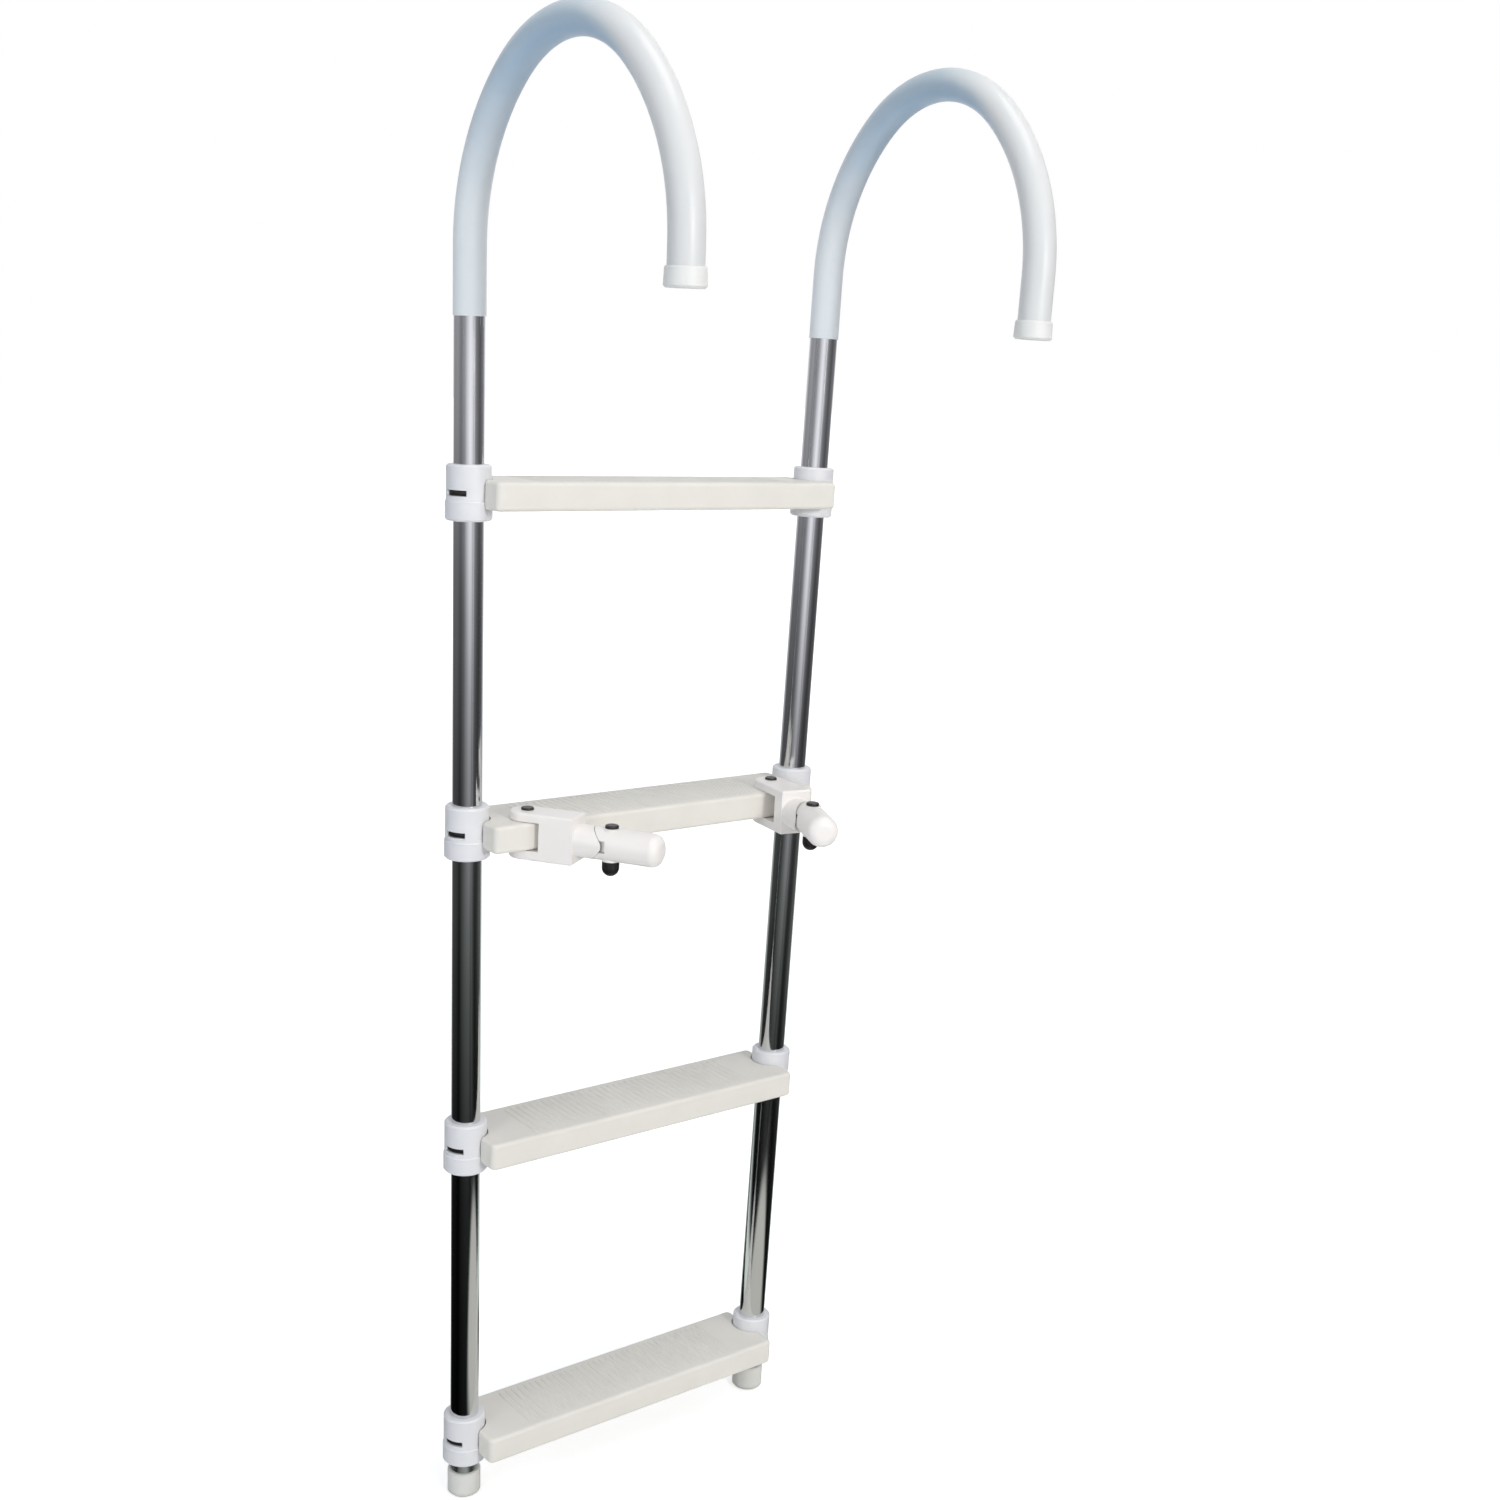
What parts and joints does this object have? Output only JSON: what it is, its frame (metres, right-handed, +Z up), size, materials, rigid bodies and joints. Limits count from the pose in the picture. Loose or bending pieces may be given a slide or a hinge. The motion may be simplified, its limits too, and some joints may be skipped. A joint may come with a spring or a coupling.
{
  "type": "portable boat ladder",
  "caption": "Hook-over boarding ladder of two bent tubes with moulded steps, clamping collars and two jointed stand-off arms.",
  "frame": {"origin": "midway between the two hooks, at the underside of their crowns, where the ladder hangs on the boat side", "axes": "+Z up, +X to the right of someone who looks from the boat at the ladder, hooks towards -Y, so the climber stands on the +Y side"},
  "size_m": [0.382, 0.2992, 1.2095],
  "materials": {
    "rail_metal": "polished and clear anodised",
    "sleeve_vinyl": "soft satin vinyl",
    "cap_vinyl": "moulded vinyl",
    "foot_rubber": "matte moulded",
    "collar_plastic": "satin moulded",
    "tread_plastic": "satin moulded with a non-skid top",
    "standoff_plastic": "satin moulded",
    "fastener_metal": "dark oxide"
  },
  "bodies": {
    "ladder": {"rail_tube_left": "rail_metal", "hook_sleeve_left": "sleeve_vinyl", "hook_cap_left": "cap_vinyl", "foot_cap_left": "foot_rubber", "rail_tube_right": "rail_metal", "hook_sleeve_right": "sleeve_vinyl", "hook_cap_right": "cap_vinyl", "foot_cap_right": "foot_rubber", "collar_1_left": "collar_plastic", "collar_1_right": "collar_plastic", "collar_2_left": "collar_plastic", "collar_2_right": "collar_plastic", "collar_3_left": "collar_plastic", "collar_3_right": "collar_plastic", "collar_4_left": "collar_plastic", "collar_4_right": "collar_plastic", "tread_1": "tread_plastic", "tread_2": "tread_plastic", "tread_3": "tread_plastic", "tread_4": "tread_plastic"},
    "arm_left": {"standoff_arm_left": "standoff_plastic", "standoff_pin_left": "fastener_metal"},
    "pad_left": {"standoff_pad_left": "standoff_plastic", "elbow_bolt_left": "fastener_metal", "elbow_nut_left": "fastener_metal"},
    "arm_right": {"standoff_arm_right": "standoff_plastic", "standoff_pin_right": "fastener_metal"},
    "pad_right": {"standoff_pad_right": "standoff_plastic", "elbow_bolt_right": "fastener_metal", "elbow_nut_right": "fastener_metal"}
  },
  "joints": [
    {"name": "shoulder_left", "type": "hinge", "parent": "ladder", "child": "arm_left", "pos_m": [-0.12558, 0.1045, -0.59], "axis": [0, 0, 1], "range_deg": [-35, 5]},
    {"name": "elbow_left", "type": "hinge", "parent": "arm_left", "child": "pad_left", "pos_m": [-0.08371, 0.0447, -0.59], "axis": [0, 0, 1], "range_deg": [-27, 33]},
    {"name": "shoulder_right", "type": "hinge", "parent": "ladder", "child": "arm_right", "pos_m": [0.12558, 0.1045, -0.59], "axis": [0, 0, -1], "range_deg": [-9, 31]},
    {"name": "elbow_right", "type": "hinge", "parent": "arm_right", "child": "pad_right", "pos_m": [0.11416, 0.0324, -0.59], "axis": [0, 0, -1], "range_deg": [-47, 13]}
  ]
}
